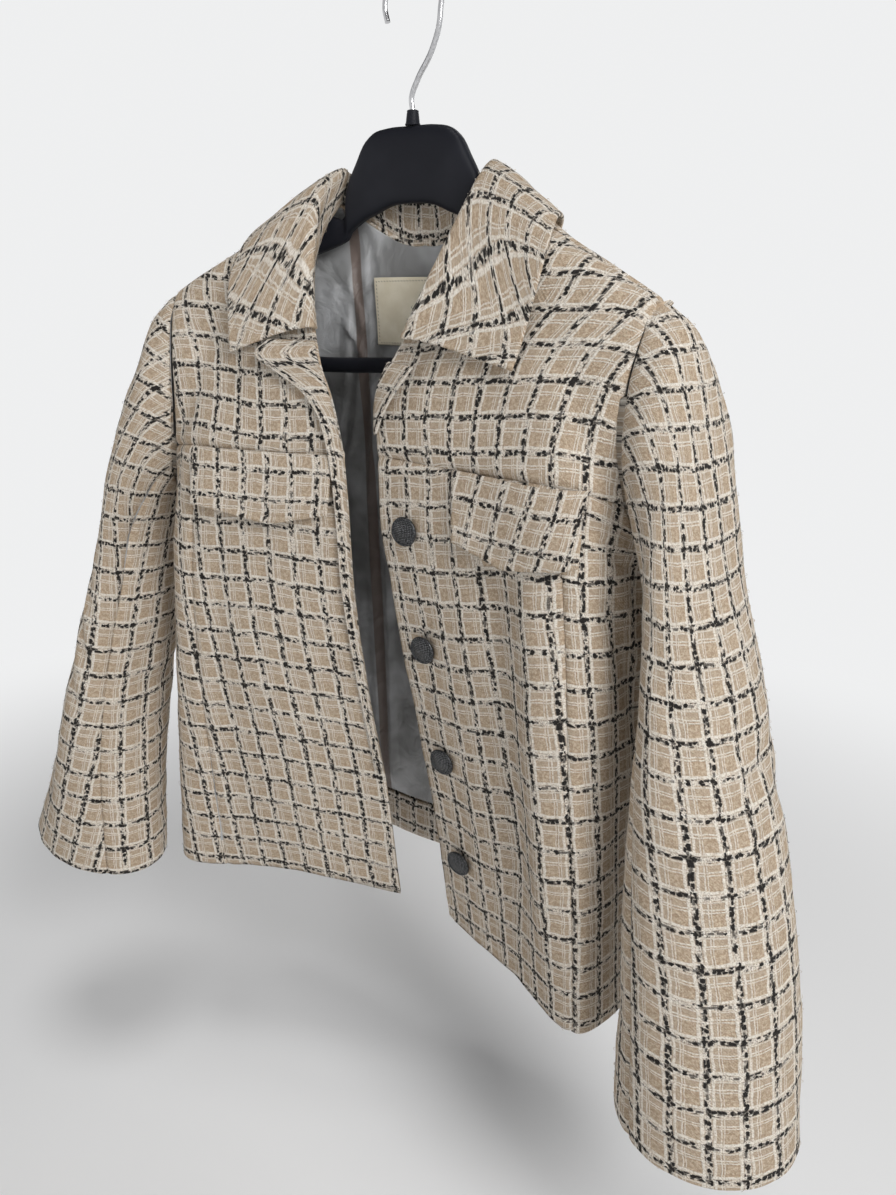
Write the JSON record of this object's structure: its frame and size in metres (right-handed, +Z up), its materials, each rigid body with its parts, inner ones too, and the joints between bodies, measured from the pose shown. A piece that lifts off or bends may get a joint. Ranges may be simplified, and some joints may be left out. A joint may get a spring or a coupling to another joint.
{
  "type": "cropped jacket on a hanger",
  "caption": "Cropped tweed jacket with a turned-down collar, pocket flaps and shank buttons, hanging open and empty on a moulded hanger with a wire hook.",
  "frame": {"origin": "the seat inside the top of the hook's bow, where a rail carries the hanger", "axes": "+Z up, +X to the wearer's left, the jacket's front faces -Y"},
  "size_m": [0.7282, 0.2289, 0.7517],
  "materials": {
    "tweed": "boucle tweed in a beige, white and black check",
    "lining": "pale grey satin lining",
    "label": "bare woven satin",
    "button": "dark antiqued metal",
    "hanger": "satin black moulding",
    "steel": "bright wire"
  },
  "bodies": {
    "root": {"left_front_yoke": "tweed", "left_front_centre": "tweed", "left_front_side": "tweed", "right_front_yoke": "tweed", "right_front_centre": "tweed", "right_front_side": "tweed", "back": "tweed", "left_sleeve_upper": "tweed", "left_sleeve_under": "tweed", "right_sleeve_upper": "tweed", "right_sleeve_under": "tweed", "collar": "tweed", "left_revers": "tweed", "right_revers": "tweed", "left_flap": "tweed", "right_flap": "tweed", "back_hem_facing": "tweed", "back_lining": "lining", "label": "label", "button_1": "button", "button_2": "button", "button_3": "button", "button_4": "button", "hanger_body": "hanger", "hanger_bar": "hanger", "hanger_ferrule": "hanger", "hanger_hook": "steel"}
  },
  "joints": []
}
